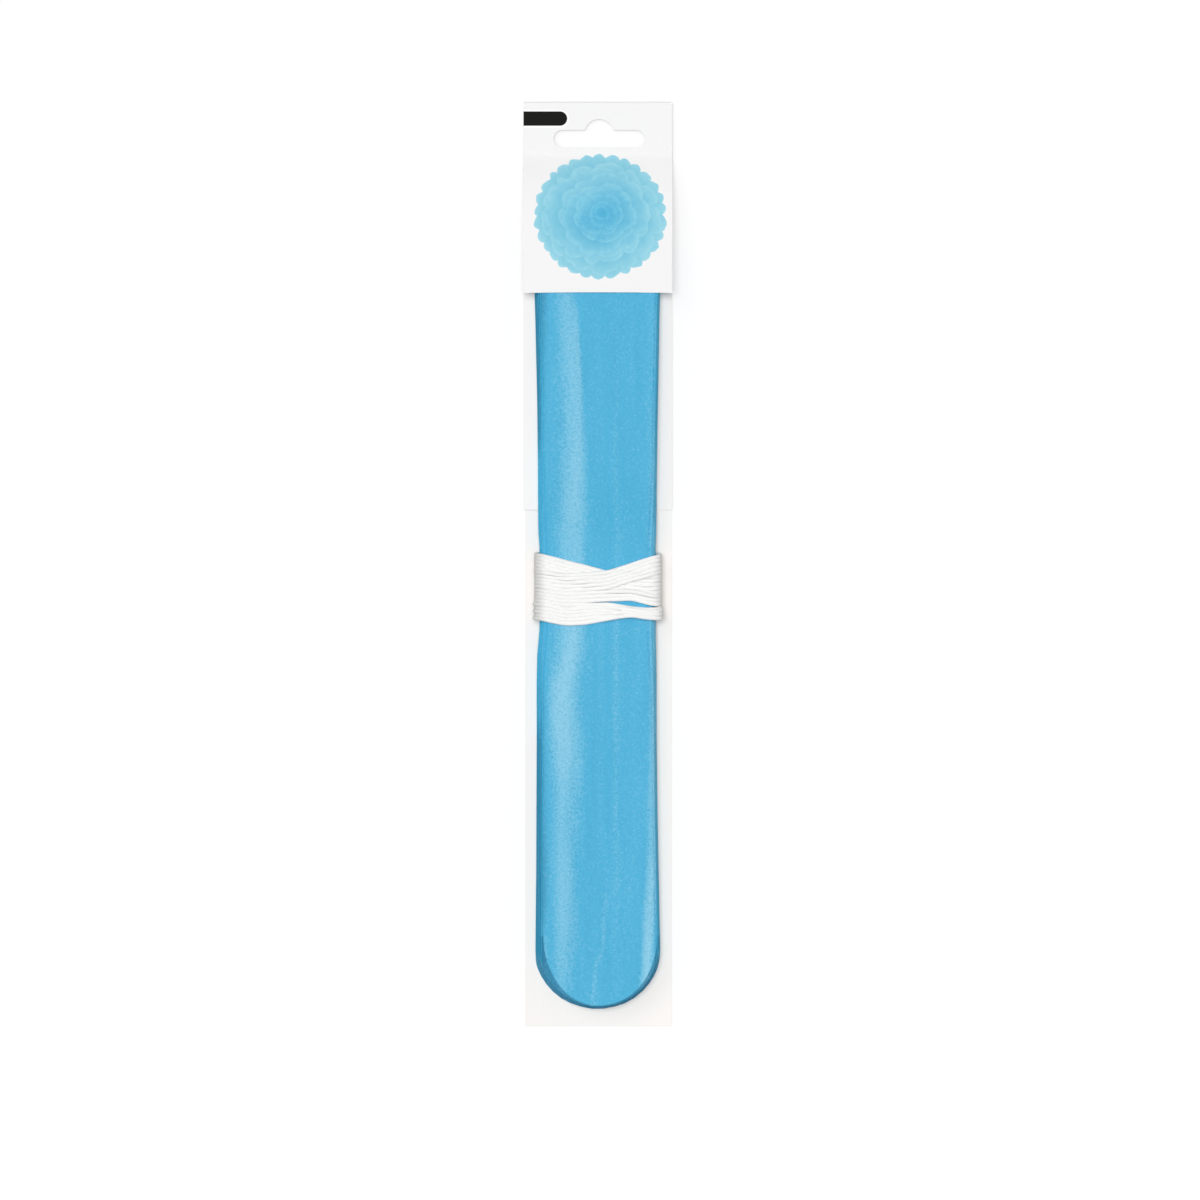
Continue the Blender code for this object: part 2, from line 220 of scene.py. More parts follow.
class Shader:
    """One material's node graph, with its Principled BSDF at the end."""

    def __init__(self, name, roughness, **fixed):
        self.material = bpy.data.materials.new(name)
        self.material.use_nodes = True
        self.tree = self.material.node_tree
        self.surface = self.tree.nodes["Principled BSDF"]
        self.surface.inputs["Roughness"].default_value = roughness
        for socket, value in fixed.items():
            self.surface.inputs[socket.replace("_", " ")].default_value = value

    def feed(self, socket, value):
        if isinstance(value, Value):
            self.tree.links.new(value.socket, socket)
        else:
            socket.default_value = value

    def node(self, kind, settings=(), inputs=(), output=0):
        """Adds one node: its settings first, ramp stops and curve points among them, then its sockets."""
        made = self.tree.nodes.new("ShaderNode" + kind)
        for key, value in dict(settings).items():
            if key == "points":
                curve = made.mapping.curves[0]
                for point, place in zip(curve.points, (value[0], value[-1])):
                    point.location = place
                for place in value[1:-1]:
                    curve.points.new(*place)
                made.mapping.update()
            else:
                setattr(made, key, value)
        for key, value in dict(inputs).items():
            self.feed(made.inputs[key], value)
        return Value(self, made.outputs[output])

    def maths(self, operation, *values):
        return self.node("Math", {"operation": operation}, dict(enumerate(values)))

    def step(self, value, low, high):
        """Eases from 0 at low to 1 at high; either limit may be a socket."""
        limits = {"Value": value, "From Min": low, "From Max": high}
        return self.node("MapRange", {"interpolation_type": "SMOOTHSTEP"}, limits)

    def along(self, value, points, size=1.0):
        """A smooth curve through (place, height) points, read at value; heights run from 0 to size."""
        start, end = points[0][0], points[-1][0]
        scaled = [((place - start) / (end - start), height / size) for place, height in points]
        return size * self.node("FloatCurve", {"points": scaled}, {"Value": (value - start) / (end - start)})

    def noise(self, vector, scale, detail=2.0, roughness=0.5):
        sizes = {"Vector": vector, "Scale": scale, "Detail": detail, "Roughness": roughness}
        return self.node("TexNoise", {"noise_dimensions": "3D"}, sizes)

    def stretched(self, vector, scale, turn=0.0):
        """The vector turned about Z by a number of degrees and scaled along its own axes."""
        turned = {"Vector": vector, "Rotation": (0.0, 0.0, math.radians(turn))}
        inputs = {"Vector": self.node("Mapping", {}, turned), "Scale": scale}
        return self.node("Mapping", {"vector_type": "POINT"}, inputs)

    def mix(self, share, first, second):
        """Blends two colours, each four numbers or a socket."""
        inputs = {0: share, 6: first, 7: second}
        return self.node("Mix", {"data_type": "RGBA", "clamp_factor": True}, inputs, 2)

    def places(self):
        """Object coordinates as (vector, across, along, up)."""
        vector = self.node("TexCoord", output="Object")
        parts = self.node("SeparateXYZ", inputs={0: vector}).socket.node
        return (vector, *(Value(self, socket) for socket in parts.outputs))

    def bump(self, height, distance, strength=1.0):
        inputs = {"Height": height, "Distance": distance, "Strength": strength}
        self.feed(self.surface.inputs["Normal"], self.node("Bump", {}, inputs))

    def paint(self, colour, roughness=None):
        self.feed(self.surface.inputs["Base Color"], colour)
        if roughness is not None:
            self.feed(self.surface.inputs["Roughness"], roughness)
        return self.material


def tone(red, green, blue):
    """A colour as three levels of 0 to 255 in a picture, turned into linear light."""
    shares = np.array((red, green, blue)) / 255.0
    linear = np.where(shares <= 0.04045, shares / 12.92, ((shares + 0.055) / 1.055) ** 2.4)
    return (*map(float, linear), 1.0)


# Meshes


def smooth(share):
    """Eases from 0 to 1 with level ends."""
    share = np.clip(share, 0.0, 1.0)
    return share * share * (3 - 2 * share)


def grid_faces(rows, columns, round_columns=False):
    """Quads of a grid of points stored row by row; round_columns joins the last column to the first."""
    across = np.arange(columns if round_columns else columns - 1)
    down = np.arange(rows - 1)[:, None]
    following = (across + 1) % columns
    corners = (down * columns + across, down * columns + following,
               (down + 1) * columns + following, (down + 1) * columns + across)
    return np.stack([c + 0 * down for c in corners], axis=-1).reshape(-1, 4)


def mesh_object(name, points, faces, materials, smooth_angle=None):
    """A mesh from arrays of points and of faces' corners, shaded smooth up to an angle in degrees."""
    mesh = bpy.data.meshes.new(name)
    mesh.from_pydata(np.asarray(points, float).reshape(-1, 3).tolist(), [], [list(f) for f in faces])
    mesh.validate()
    for material in materials:
        mesh.materials.append(material)
    if smooth_angle is not None:
        mesh.shade_smooth()
        mesh.set_sharp_from_angle(angle=math.radians(smooth_angle))
    thing = bpy.data.objects.new(name, mesh)
    bpy.context.scene.collection.objects.link(thing)
    return thing


def dress(thing, slot, *replaced):
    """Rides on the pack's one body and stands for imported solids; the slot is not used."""
    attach(thing, "root")
    if replaced:
        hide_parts(*replaced)


# Header card


def arc(centre, radius, start, end, steps):
    """Points of a circle's arc between two angles in degrees, both ends included."""
    angles = np.radians(np.linspace(start, end, steps + 1))
    return np.stack([centre[0] + radius * np.cos(angles), centre[1] + radius * np.sin(angles)], axis=1)


def flap_curve(steps):
    """The flap's rise from the slot to its lower edge, as (along, up): a cubic curve level at both ends."""
    points = (
        (RISE_START, FRONT_LEG_MIDDLE),
        (RISE_START - FLAP_BEND_START, FRONT_LEG_MIDDLE),
        (FLAP_EDGE + FLAP_BEND_END, FLAP_LEVEL),
        (FLAP_EDGE, FLAP_LEVEL),
    )
    t = np.linspace(0, 1, steps + 1)[:, None]
    weights = ((1 - t) ** 3, 3 * t * (1 - t) ** 2, 3 * t**2 * (1 - t), t**3)
    return sum(weight * np.array(point) for weight, point in zip(weights, points))


def slot_outline(steps=24):
    """A slot with round ends and a round hump over its middle, each side of the hump let in by a fillet."""
    half = SLOT_HEIGHT / 2
    end = SLOT_LENGTH / 2 - half
    hump_at = half + HUMP_RISE - HUMP_RADIUS
    fillet_up = half + HUMP_FILLET
    reach = HUMP_RADIUS + HUMP_FILLET
    fillet_out = math.sqrt(reach**2 - (fillet_up - hump_at) ** 2)
    lean = math.degrees(math.atan2(fillet_up - hump_at, fillet_out))
    right = arc((end, 0), half, -90, 90, steps)
    right_fillet = arc((fillet_out, fillet_up), HUMP_FILLET, -90, -180 + lean, steps // 3)
    hump = arc((0, hump_at), HUMP_RADIUS, lean, 180 - lean, steps)[1:-1]
    left_fillet = right_fillet[::-1] * (-1, 1)
    left = arc((-end, 0), half, 90, 270, steps)
    return np.concatenate([right, right_fillet, hump, left_fillet, left]) + (SLOT_SHIFT, SLOT_MIDDLE)


def header_card(paper, print_face):
    """One card folded over at the top. Its middle surface is the profile (foot of the back leg, half turn of
    the fold, straight run past the slot, cubic rise over the pad) carried across the width; at the flap's
    edge it sags by the square of the distance from the middle, and reaches a little lower there."""
    radius = (CARD_THICKNESS + FOLD_OPENING) / 2
    fold_at = (TOP_EDGE - radius - CARD_THICKNESS / 2, LEG_TOP + FOLD_OPENING / 2)
    leg = np.linspace(LEG_END, fold_at[0], 40)[:-1]
    back_leg = np.stack([leg, np.full_like(leg, LEG_TOP - CARD_THICKNESS / 2)], axis=1)
    fold = arc(fold_at, radius, -90, 90, 16)
    run = np.linspace(fold_at[0], RISE_START, 10)[1:-1]
    front_run = np.stack([run, np.full_like(run, FRONT_LEG_MIDDLE)], axis=1)
    profile = np.concatenate([back_leg, fold, front_run, flap_curve(48)])
    across = np.linspace(-HEADER_WIDTH / 2, HEADER_WIDTH / 2, 41)
    first_front = len(back_leg) + len(fold)
    rows = np.arange(len(profile))
    ease = smooth((rows - first_front) / (len(profile) - 1 - first_front)) ** 3
    sag = ease[:, None] * (2 * across / HEADER_WIDTH) ** 2
    points = np.stack([
        across + 0 * sag,
        profile[:, :1] - FLAP_BOW * sag,
        profile[:, 1:] - FLAP_CORNER_DROP * sag,
    ], axis=-1)
    faces = grid_faces(len(profile), len(across))
    card = mesh_object("header_sheet", points, faces[:, ::-1], [paper, print_face])
    front = faces[:, 0] // len(across) >= len(back_leg) + 8
    card.data.polygons.foreach_set("material_index", front.astype(np.int32))
    wall = card.modifiers.new("card thickness", "SOLIDIFY")
    wall.thickness, wall.offset, wall.use_even_offset = CARD_THICKNESS, 0.0, True
    wall.material_offset = wall.material_offset_rim = -1
    outline = slot_outline()
    count = len(outline)
    punch_points = np.concatenate([np.column_stack([outline, np.full(count, z)]) for z in (-0.0004, 0.0030)])
    punch_faces = [list(f) for f in grid_faces(2, count, True)]
    punch_faces += [list(range(count))[::-1], list(range(count, 2 * count))]
    punch = mesh_object("slot_punch", punch_points, punch_faces, [paper])
    cut = card.modifiers.new("hang slot", "BOOLEAN")
    cut.operation, cut.object, cut.solver = "DIFFERENCE", punch, "EXACT"
    bpy.context.view_layer.update()
    finished = bpy.data.meshes.new_from_object(card.evaluated_get(bpy.context.evaluated_depsgraph_get()))
    card.modifiers.clear()
    card.data = finished
    bpy.data.objects.remove(punch)
    finished.shade_smooth()
    finished.set_sharp_from_angle(angle=math.radians(35))
    dress(card, "white_card", "header_card")


# Pleated tissue pad


def out_of_band(along, spread=SQUEEZE_SPREAD):
    """How far the pad has come free of the cord's squeeze: 0 inside the band, 1 from one spread away."""
    return smooth((np.abs(along - CORD_MIDDLE) - SQUEEZED_HALF) / spread)


def pad_base(along):
    """Height of the pad's underside: on the strip or the back leg, and up over the cord's rear turns."""
    lying = PAD_ON_STRIP + (PAD_ON_LEG - PAD_ON_STRIP) * smooth((along - LEG_END + LEG_RAMP) / LEG_RAMP)
    return PAD_ON_CORD + (lying - PAD_ON_CORD) * out_of_band(along)


def under_flap(along):
    """Height of the space below the flap, with the running clearance taken off."""
    curve = flap_curve(48)
    slope = np.gradient(curve[:, 1], curve[:, 0])
    lower = curve[:, 1] - (CARD_THICKNESS / 2 + CLEARANCE) * np.sqrt(1 + slope**2)
    return np.interp(along, curve[::-1, 0], lower[::-1], left=FLAP_LEVEL)


def pleat_gap(along):
    """Space between neighbouring pleats: closed up by the cord at the waist and by the flap at the top."""
    gap = SQUEEZED_GAP + (LOOSE_GAP - SQUEEZED_GAP) * out_of_band(along)
    room = under_flap(along) - pad_base(along) - PLEATS * PLEAT_THICKNESS
    return np.clip(room / (PLEATS - 1), SQUEEZED_GAP, gap)


def pad_width(along):
    """Width over the rear pleats: drawn in at the waist, full from one spread away."""
    away = np.abs(along - CORD_MIDDLE) - SQUEEZED_HALF
    return PAD_WAIST_WIDTH + (PAD_END_WIDTH - PAD_WAIST_WIDTH) * smooth(away / WIDTH_SPREAD)


def front_tip():
    """Where the front pleat ends under the flap, clear of the card's slope."""
    along = np.linspace(FLAP_EDGE, PAD_TOP_TIP, 400)
    fits = under_flap(along) - CLEARANCE > PAD_ON_LEG + TIGHTEST
    return float(along[fits].max())


def ribbon_route(panel_points, front_points, fold_points):
    """The pleated ribbon's cross section as (kind, pleat, share) of each point: 0 is a flat panel and its
    share runs along it, 1 is a fold and its share runs round it."""
    kinds, pleats, shares = [], [], []
    for pleat in range(PLEATS):
        count = front_points if pleat == PLEATS - 1 else panel_points
        spread = (1 - np.cos(np.linspace(0, math.pi, count))) / 2
        shares += [spread]
        kinds += [np.zeros(count)]
        pleats += [np.full(count, pleat)]
        if pleat < PLEATS - 1:
            inner = np.arange(1, fold_points) / fold_points
            shares += [inner]
            kinds += [np.ones(len(inner))]
            pleats += [np.full(len(inner), pleat)]
    return tuple(np.concatenate(part) for part in (kinds, pleats, shares))


def ribbon_points(route, along, offset, reach):
    """The ribbon's points across and up, at each place along. A panel lies at pleat x pitch; a fold is half a
    circle between two panels, whose centre keeps inside the rounded edge of the stack. offset moves the point
    off the ribbon's middle, to its left as the ribbon is followed; reach varies how far each fold goes out."""
    kind, pleat, share = route
    gap, base, half = pleat_gap(along), pad_base(along), pad_width(along) / 2
    pitch = PLEAT_THICKNESS + gap
    depth = PLEATS * pitch - gap
    middle = (gap + PLEAT_THICKNESS) / 2
    wide = gap / 2 + PLEAT_THICKNESS

    rounded = PAD_EDGE_ROUND * (1 - EDGE_OPENS * out_of_band(along))

    def fold_out(fold):
        """Distance of a fold's centre from the pack's middle line."""
        up = fold * pitch + wide
        inset = FRONT_INSET * (fold + 0.5) / (PLEATS - 1)
        corner = np.maximum(0.0, rounded - np.minimum(up, depth - up))
        edge = rounded - np.sqrt(np.maximum(0.0, (rounded - wide) ** 2 - corner**2))
        ends = (fold < 0) | (fold > PLEATS - 2)
        free = half - rounded - FRONT_INSET * (fold > PLEATS - 2)
        return np.where(ends, free, half - inset - edge) + reach[np.clip(fold, 0, PLEATS - 1).astype(int)]

    side = np.where(pleat % 2 == 0, -1.0, 1.0)
    start, end = -side * fold_out(pleat - 1), side * fold_out(pleat)
    level = base + pleat * pitch + PLEAT_THICKNESS / 2
    turned = math.pi * share
    radius = middle - offset * side
    fold_across = end + side * radius * np.sin(turned)
    fold_up = level + middle - radius * np.cos(turned)
    panel_across = start + (end - start) * share
    panel_up = level + offset * side
    lean = FRONT_LEAN * (pleat + kind * share) / (PLEATS - 1) * out_of_band(along)
    return np.where(kind > 0, fold_across, panel_across) + lean, np.where(kind > 0, fold_up, panel_up)


# Half an ellipse at the lower end, in millimetres, past which the front sheet shows the ones beneath in painted shade
RIM_MIDDLE, RIM_HALF_WIDTH, RIM_TIP, RIM_HEIGHT = 0.75, 17.2, -133.6, 21.0

SIDE_SHIFTS = np.array((
    # place along, and how far the pad's left and right edges stand to the right of their even line there
    (-134, 0.05, -0.10), (-108, 0.08, -0.40), (-93, 0.02, -0.48), (-79, -0.19, -0.50), (-64, -0.42, -0.43),
    (-50, -0.61, -0.31), (-38, -0.80, -0.14), (-20, -0.55, 0.14), (7, -0.33, 0.16), (22, -0.38, -0.12),
    (51, -0.20, -0.18), (73, -0.30, -0.20), (84, -0.42, -0.14),
)) * MM


def sideways(across, along):
    """How far the stack strays to the side: each edge by its own amount, and in proportion between them. The
    cord holds it true at the waist."""
    left, right = (np.interp(along, SIDE_SHIFTS[:, 0], SIDE_SHIFTS[:, side]) for side in (1, 2))
    share = np.clip(across / pad_width(along) + 0.5, 0.0, 1.0)
    return (left + (right - left) * share) * out_of_band(along, SIDE_SPREAD)


CREASES = (
    # (across, along) points of a soft crease in the front pleats, its height, width left of it and right of it
    (((-9.0, 82), (-6.2, 62), (-5.6, 44), (-6.2, 20)), 0.22, 5.0, 1.6),
    (((-6.6, -24), (-10.6, -40), (-9.8, -60), (-10.6, -78), (-9.4, -98), (-10.2, -116)), 0.26, 4.2, 2.6),
    (((5.8, 80), (5.2, 60), (5.6, 30)), 0.10, 2.5, 2.0),
    (((2.0, -84), (1.2, -104), (-1.4, -126)), 0.12, 1.6, 2.2),
    (((15.8, -26), (15.4, -60), (14.6, -92), (13.2, -112)), 0.18, 1.8, 2.6),
    (((9.5, -36), (8.0, -70), (7.4, -96)), -0.10, 3.0, 3.4),
)


def crease_height(across, along):
    """How far the front pleat's paper stands up: soft ridges that follow the crease lines, each a bell with its
    own width on either side, and long shallow waves. It fades out at the cord and under the flap."""
    height = 0.05 * MM * np.sin(across / 0.0031 + 2.1 * np.sin(along / 0.041))
    height = height + 0.04 * MM * np.sin(across / 0.0057 - along / 0.033 + 0.6)
    for line, size, left, right in CREASES:
        places = np.array(sorted(line, key=lambda point: point[1])) * MM
        away = across - np.interp(along, places[:, 1], places[:, 0])
        width = np.where(away < 0, left, right) * MM
        ends = smooth((along - places[0, 1] + 0.006) / 0.012) * smooth((places[-1, 1] + 0.006 - along) / 0.012)
        height = height + size * MM * np.exp(-((away / width) ** 2)) * ends
    return height * out_of_band(along) * smooth((FLAP_EDGE + 0.006 - along) / 0.010)


def end_limits(share, level):
    """Lowest and highest place along the pad at one level: each end is half an ellipse across the width."""
    room = END_ROUND * (1 - np.sqrt(np.maximum(0.0, 1 - share**2)))
    top = PAD_TOP_TIP + (front_tip() - PAD_TOP_TIP) * level
    bottom = PAD_BOTTOM_TIP + FRONT_SHORTER * level
    return bottom + room, top - room


def tissue_bundle(index, material, reach, random):
    """One bundle of sheets through all the pleats: a thin closed ribbon whose rows run between the two round
    ends, with the front pleats lifted by the creases. All bundles share their folds' reach and their rows, so
    that they nest; only the last two rows at each end are ragged, by a sixth of a millimetre."""
    thickness = PLEAT_THICKNESS / SHEET_BUNDLES
    middle = -PLEAT_THICKNESS / 2 + thickness * (index + 0.5)
    half = thickness / 2 - SHEET_GAP / 2
    route = ribbon_route(PANEL_POINTS, FRONT_PANEL_POINTS, FOLD_POINTS)
    there_and_back = tuple(np.concatenate([part, part[::-1]]) for part in route)
    kind, pleat, share = there_and_back
    count = len(route[0])
    offset = np.concatenate([np.full(count, middle + half), np.full(count, middle - half)])
    rest = np.full(2 * count, PAD_BOTTOM_TIP + END_ROUND)
    across, up = ribbon_points(there_and_back, rest, offset, reach)
    level = np.clip((up - pad_base(rest)) / LOOSEST, 0.0, 1.0)
    widest = PAD_END_WIDTH / 2 - FRONT_INSET * level
    low, high = end_limits(np.clip((across - FRONT_LEAN * level) / widest, -1, 1), level)
    ragged = random.uniform(*END_STRAY, (2, PLEATS))
    wave = 0.05 * MM * np.sin(across / 0.0016 + 1.7 * pleat + index)
    rows = np.linspace(0, 1, SHEET_ROWS)
    rows = rows - 0.6 * np.sin(2 * math.pi * rows) / (2 * math.pi)
    at_low = np.clip(1 - rows / rows[2], 0.0, 1.0)[:, None]
    longer_low, longer_high = (ragged[end][pleat.astype(int)] + wave for end in (0, 1))
    along = low + (high - low) * rows[:, None] - longer_low * at_low + longer_high * at_low[::-1]
    across, up = ribbon_points(there_and_back, along, offset, reach)
    depth = ((pleat + kind * share + 1) / PLEATS) ** 2
    up = up + depth * crease_height(across, along)
    points = np.stack([across + sideways(across, along), along, up], axis=-1)
    size = 2 * count
    faces = grid_faces(len(rows), size, True)
    ends = np.arange(count - 1)
    foot = np.stack([ends + 1, ends, size - 1 - ends, size - 2 - ends], axis=1)
    head = foot[:, ::-1] + (len(rows) - 1) * size
    bundle = mesh_object(f"tissue_sheets_{index + 1}", points, np.concatenate([faces, foot, head]), [material], 50)
    dress(bundle, "blue_tissue", *(["tissue_pad"] if index == 0 else []))


# Cord wound round the waist

FRONT_PLACES = np.array((-18.26, -9.62, -4.47, 2.95, 6.74, 10.38, 14.32, 18.11)) * MM
FRONT_GROUPS = (
    # turns in the group, place along of its first turn and spacing to the next, at each of the places across
    (5, (2.88, 0.61, -0.76, -2.70, -3.33, -3.76, -4.03, -3.82), (1.067, 1.14, 1.14, 1.15, 1.15, 1.16, 1.21, 1.227)),
    (5, (-2.45, -3.52, -3.15, -2.70, -1.42, -0.21, 1.09, 2.30), (1.067, 1.14, 1.14, 1.15, 1.15, 1.15, 1.20, 1.227)),
    (3, (-7.79, -9.24, -8.91, -8.45, -8.27, -8.21, -9.15, -9.97), (1.067, 1.12, 1.14, 1.15, 1.15, 1.15, 1.20, 1.227)),
    (6, (-11.0, -12.6, -12.33, -12.27, -12.85, -13.42, -13.94, -13.70),
     (1.067, 1.12, 1.10, 0.88, 0.61, 0.42, 0.47, 0.55)),
)
BACK_FIRST, BACK_SPACING = 2.80 * MM, 1.062 * MM
FIRST_TURNS = (1, 7, 3, 9, 5, 0, 6, 2, 8, 4)
LEAD = 0.010


def eased(places, values, fine, reach):
    """Straight runs through the given points, rounded off by a moving average with a bell of that reach."""
    step = fine[1] - fine[0]
    bell = np.hanning(2 * int(reach / step) + 3)
    rough = np.interp(fine, places, values)
    padded = np.pad(rough, len(bell) // 2, mode="edge")
    return np.convolve(padded, bell / bell.sum(), mode="valid")


def front_turns(fine):
    """Each turn's place along and its lift off the pad, at fine places across the front. A turn laid over
    others rests on the round tops of those it crosses, and its lift is eased as a taut cord's is."""
    along = []
    for size, first, spacing in FRONT_GROUPS:
        for turn in range(size):
            values = (np.array(first) - turn * np.array(spacing)) * MM
            along.append(eased(FRONT_PLACES, values, fine, 0.0028))
    along = np.array(along)
    order = [*range(0, 5), *range(10, 13), 13, 15, 17, 14, 16, 18, *range(5, 10)]
    lift = np.zeros_like(along)
    room = TURN_SQUASH * CORD_DIAMETER
    for place, turn in enumerate(order):
        for below in order[:place]:
            apart = np.abs(along[turn] - along[below])
            needed = lift[below] + np.sqrt(np.maximum(0.0, room**2 - apart**2))
            lift[turn] = np.maximum(lift[turn], np.where(apart < room, needed, 0.0))
        step = fine[1] - fine[0]
        window = int(0.0012 / step)
        widest = np.max([np.roll(lift[turn], shift) for shift in range(-window, window + 1)], axis=0)
        lift[turn] = np.minimum(eased(fine, widest, fine, 0.0020), CORD_DIAMETER)
    return along, lift


def cord_route():
    """The cord's middle line: a rounded rectangle round the waist, turn after turn. Over the front each turn
    follows its own line; down the sides and behind, it moves over to the next turn's place."""
    half = PAD_WAIST_WIDTH / 2 + CORD_SNUG_SIDE + CORD_DIAMETER / 2
    low = PAD_ON_STRIP + CORD_DIAMETER / 2
    high = PAD_ON_CORD + TIGHTEST + CORD_SNUG_FRONT + CORD_DIAMETER / 2
    corner = PAD_EDGE_ROUND + CORD_DIAMETER / 2 + CORD_SNUG_SIDE
    fine = np.linspace(-half, half, 600)
    front_along, front_lift = front_turns(fine)
    quarter = np.linspace(0, math.pi / 2, 12)
    left_up = np.column_stack([-half + corner - corner * np.cos(quarter), high - corner + corner * np.sin(quarter)])
    straight = np.linspace(-half + corner, half - corner, 100)[1:-1]
    over = np.concatenate([left_up, np.column_stack([straight, np.full(98, high)]), (left_up * (-1, 1))[::-1]])
    side = np.linspace((high + low) / 2, high - corner, 9)[:-1]
    left_side = np.column_stack([np.full(8, -half), side])
    front = np.concatenate([left_side, over, (left_side * (-1, 1))[::-1]])
    behind = front[::-1] * (1, -1) + (0, high + low)
    run = np.gradient(front, axis=0)
    normal = np.column_stack([-run[:, 1], run[:, 0]]) / np.linalg.norm(run, axis=1)[:, None]

    turns = [*FIRST_TURNS, *range(10, len(front_along))]
    right_of = [(t + 5 if t < 5 else t - 5) if t < 10 else t for t in turns]
    back_place = BACK_FIRST - np.arange(len(turns)) * BACK_SPACING
    down_side = smooth((high - front[:, 1]) / (high - low))
    pieces = []
    for i, turn in enumerate(turns):
        along = np.interp(front[:, 0], fine, front_along[turn])
        lift = np.interp(front[:, 0], fine, front_lift[turn])
        behind_at = np.where(front[:, 0] < 0, back_place[turn], back_place[right_of[i]])
        along = along * (1 - down_side) + behind_at * down_side
        raised = front + normal * (lift * (1 - down_side) ** 2)[:, None]
        pieces.append(np.column_stack([raised[:, 0], along, raised[:, 1]]))
        following = turns[i + 1] if i + 1 < len(turns) else None
        target = back_place[following] if following is not None else back_place[right_of[i]]
        share = smooth((half - behind[:, 0]) / (2 * half))
        back_along = back_place[right_of[i]] + (target - back_place[right_of[i]]) * share
        side_along = np.where(behind[:, 0] > 0, np.interp(half, fine, front_along[turn]),
                              np.interp(-half, fine, front_along[following if following is not None else turn]))
        on_side = 1 - smooth((high - behind[:, 1]) / (high - low))
        back_along = back_along * (1 - on_side) + side_along * on_side
        back_run = np.column_stack([behind[:, 0], back_along, behind[:, 1]])
        if following is None:
            back_run = back_run[: int(np.argmax(behind[:, 0] < half - corner - LEAD))]
        pieces.append(back_run)
    lead = behind[int(np.argmax(behind[:, 0] < -half + corner + LEAD)) :]
    on_side = 1 - smooth((high - lead[:, 1]) / (high - low))
    lead_along = back_place[turns[0]] * (1 - on_side) + front_along[turns[0]][0] * on_side
    pieces.insert(0, np.column_stack([lead[:, 0], lead_along, lead[:, 1]]))
    route = np.concatenate(pieces)
    keep = np.concatenate([[True], np.linalg.norm(np.diff(route, axis=0), axis=1) > 1e-5])
    return route[keep]


def evenly(route, step):
    """The same line with its points one step apart."""
    run = np.concatenate([[0], np.cumsum(np.linalg.norm(np.diff(route, axis=0), axis=1))])
    places = np.linspace(0, run[-1], int(run[-1] / step) + 1)
    return np.stack([np.interp(places, run, route[:, k]) for k in range(3)], axis=1), places


def hanging_cord(material):
    """A cord of three plies: its round section has three lobes, which turn once in each lay along it. Its
    cross lines are carried along the path without twisting, from one fixed direction made square to it."""
    path, run = evenly(cord_route(), CORD_STEP)
    path[:, 1] += 0.035 * MM * np.sin(run / 0.0017 + 2 * np.sin(run / 0.019)) + 0.03 * MM * np.sin(run / 0.0043)
    ahead = np.gradient(path, axis=0)
    ahead /= np.linalg.norm(ahead, axis=1)[:, None]
    level = np.cross(ahead, (0.0, 1.0, 0.0))
    level /= np.linalg.norm(level, axis=1)[:, None]
    upward = np.cross(ahead, level)
    corners = 15
    around = np.linspace(0, 2 * math.pi, corners + 1)
    twist = 2 * math.pi * run / CORD_LAY
    lobes = np.abs(np.cos(1.5 * (around - twist[:, None])))
    radius = CORD_DIAMETER / 2 * (0.96 + 0.24 * lobes**0.8)
    radius *= (1 + 0.04 * np.sin(run / 0.0023) * np.sin(run / 0.0091))[:, None]
    radius[[0, -1]] *= 0.75
    points = (path[:, None] + radius[..., None] * (np.cos(around)[:, None] * level[:, None]
                                                   + np.sin(around)[:, None] * upward[:, None]))
    faces = grid_faces(len(path), corners, True)
    caps = [list(range(corners))[::-1], [(len(path) - 1) * corners + k for k in range(corners)]]
    cord = mesh_object("cord_winding", points[:, :-1], [*faces.tolist(), *caps], [material], 80)
    ply = cord.data.uv_layers.new(name="ply")
    rows, columns = np.divmod(faces, corners)
    at_seam = (columns == 0) & np.isin(np.arange(4), (1, 2))
    columns = np.where(at_seam, corners, columns)
    uv = np.stack([run[rows] / CORD_LAY, columns / corners], axis=-1).reshape(-1, 2)
    uv = np.concatenate([uv, np.zeros((2 * corners, 2))])
    ply.data.foreach_set("uv", uv.ravel())
    dress(cord, "white_cord", "hanging_cord")


# Finishes


